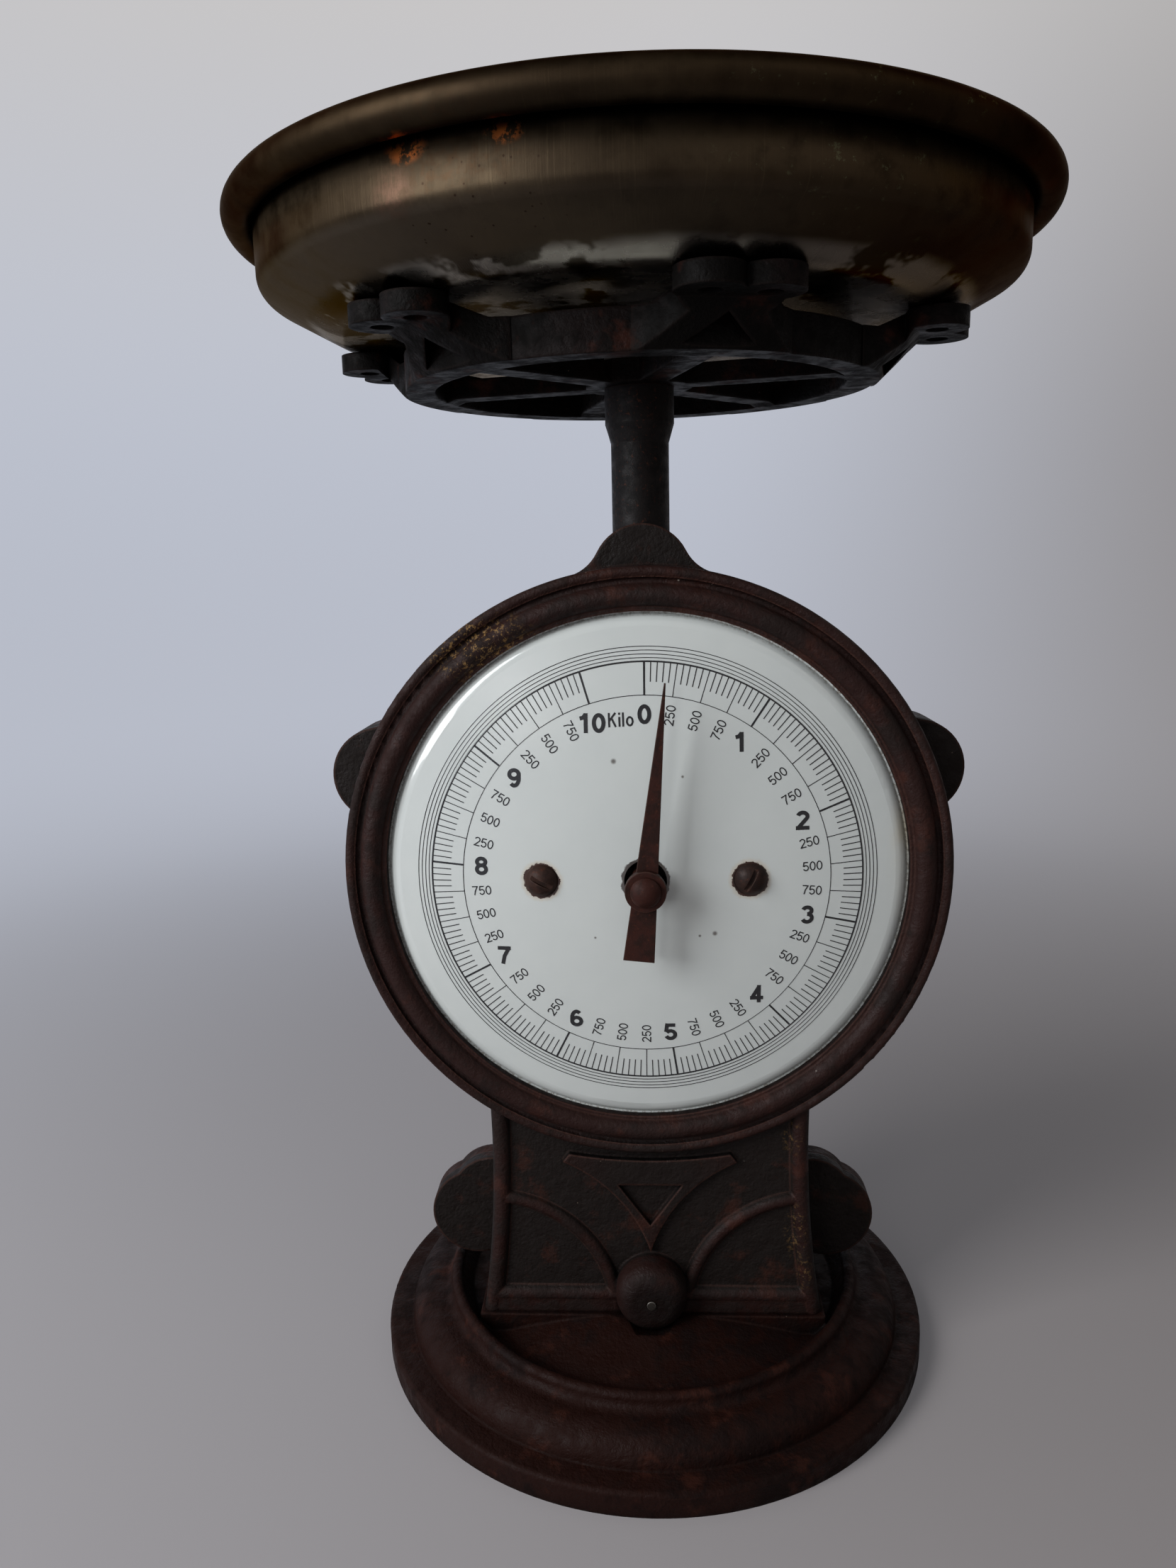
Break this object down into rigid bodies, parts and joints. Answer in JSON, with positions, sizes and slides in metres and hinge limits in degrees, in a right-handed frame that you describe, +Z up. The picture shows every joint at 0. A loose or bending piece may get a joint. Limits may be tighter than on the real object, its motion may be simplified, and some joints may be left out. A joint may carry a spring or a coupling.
{
  "type": "weighing scale",
  "caption": "Old kitchen spring scale: cast-iron stand and round housing with a dial and pointer, and a brass pan on a sprung plunger that drives the pointer through a rack and pinion.",
  "frame": {"origin": "on the table under the shaft's axis, at the middle of the round foot", "axes": "+Z up along the shaft, -Y the way the dial faces, +X to the dial's right as it is read"},
  "size_m": [0.249, 0.249, 0.3798],
  "materials": {
    "iron": "rusty brown-black patina",
    "old_brass": "tarnished, satin",
    "steel": "dull, oiled",
    "rusty_steel": "rust-brown",
    "enamel": "glossy vitreous enamel",
    "rubber": "matt"
  },
  "bodies": {
    "stand": {"base": "iron", "base_bolts": "steel", "front_casting": "iron", "rear_cover": "iron", "cover_screws": "steel", "boss_pin": "steel", "buffer_post": "steel", "buffer_pad": "rubber", "top_bush": "old_brass", "lower_bush": "old_brass", "hanger_bar": "steel", "dial_plate": "enamel", "dial_screws": "rusty_steel", "dial_posts": "old_brass", "movement_plate": "steel", "plate_screws": "steel", "rear_bridge": "steel", "bridge_screws": "steel", "front_bearing": "old_brass", "rear_bearing": "old_brass", "spring_left": "steel", "spring_right": "steel"},
    "plunger": {"shaft": "rusty_steel", "crosshead": "steel", "crosshead_nut": "steel", "rack": "steel", "rack_screw": "steel", "pan_carrier": "iron", "carrier_nut": "steel"},
    "pointer": {"spindle": "steel", "pinion": "old_brass", "pointer": "rusty_steel", "pointer_sleeve": "rusty_steel", "pointer_hub": "rusty_steel", "cap_nut": "rusty_steel"},
    "pan": {"pan": "old_brass"}
  },
  "joints": [
    {"name": "plunger_slide", "type": "slide", "parent": "stand", "child": "plunger", "axis": [0, 0, -1], "range_m": [-0.00037, 0.02118], "stiffness_N_per_m": 4552, "springref_m": -0.00453, "deforming": ["spring_left", "spring_right"]},
    {"name": "pointer_spin", "type": "hinge", "parent": "stand", "child": "pointer", "pos_m": [0, 0, 0.1785], "axis": [0, 1, 0], "range_deg": [-5.9, 337.1]},
    {"name": "pan_lift", "type": "slide", "parent": "plunger", "child": "pan", "axis": [0, 0, 1], "range_m": [0, 0.06]}
  ],
  "couplings": [
    {"joint": "pointer_spin", "follows": "plunger_slide", "rad_per_m": 277.78}
  ]
}
